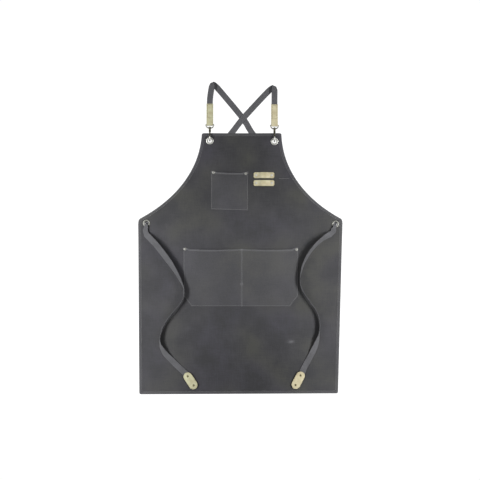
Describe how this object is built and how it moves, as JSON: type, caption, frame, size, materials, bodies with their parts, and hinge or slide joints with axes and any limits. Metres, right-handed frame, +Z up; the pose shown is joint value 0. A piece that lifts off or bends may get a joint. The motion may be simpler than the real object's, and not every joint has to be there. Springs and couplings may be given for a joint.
{
  "type": "canvas work apron",
  "caption": "Cross-back canvas work apron laid flat, with gaping patch pockets, leather tool loops, snap-hooked shoulder straps and long ties with leather ends.",
  "frame": {"origin": "on the floor under the middle of the apron's overall box", "axes": "+X to the right and +Y up the apron as seen from its front, +Z up from the floor out of the front"},
  "size_m": [0.686, 1.0499, 0.0362],
  "materials": {
    "canvas": "matte dyed cotton duck",
    "webbing": "matte doubled canvas strap",
    "leather": "pale natural leather, satin",
    "nickel": "nickel plate",
    "brass": "dark aged brass"
  },
  "bodies": {
    "apron": {"canvas_panel": "canvas", "chest_pocket": "canvas", "lower_pocket": "canvas", "rivet_chest_left": "nickel", "rivet_chest_right": "nickel", "rivet_lower_left": "nickel", "rivet_lower_right": "nickel", "tool_loop_upper": "leather", "rivet_loop_upper_left": "nickel", "rivet_loop_upper_right": "nickel", "tool_loop_lower": "leather", "rivet_loop_lower_left": "nickel", "rivet_loop_lower_right": "nickel", "grommet_bib_left": "nickel", "grommet_waist_left": "nickel", "hook_left": "nickel", "hook_eye_left": "nickel", "strap_leather_left": "leather", "strap_left": "webbing", "end_tab_left": "leather", "rivet_tab_left_inner": "brass", "rivet_tab_left_outer": "brass", "grommet_bib_right": "nickel", "grommet_waist_right": "nickel", "hook_right": "nickel", "hook_eye_right": "nickel", "strap_leather_right": "leather", "strap_right": "webbing", "end_tab_right": "leather", "rivet_tab_right_inner": "brass", "rivet_tab_right_outer": "brass"},
    "gate_left": {"hook_gate_left": "nickel"},
    "gate_right": {"hook_gate_right": "nickel"}
  },
  "joints": [
    {"name": "gate_left_hinge", "type": "hinge", "parent": "apron", "child": "gate_left", "pos_m": [-0.1023, 0.3581, 0.0141], "axis": [1, 0, 0], "range_deg": [0, 15], "stiffness_Nm_per_rad": 0.02, "springref_deg": -22.92},
    {"name": "gate_right_hinge", "type": "hinge", "parent": "apron", "child": "gate_right", "pos_m": [0.1146, 0.3557, 0.0141], "axis": [1, 0, 0], "range_deg": [0, 15], "stiffness_Nm_per_rad": 0.02, "springref_deg": -22.92}
  ]
}
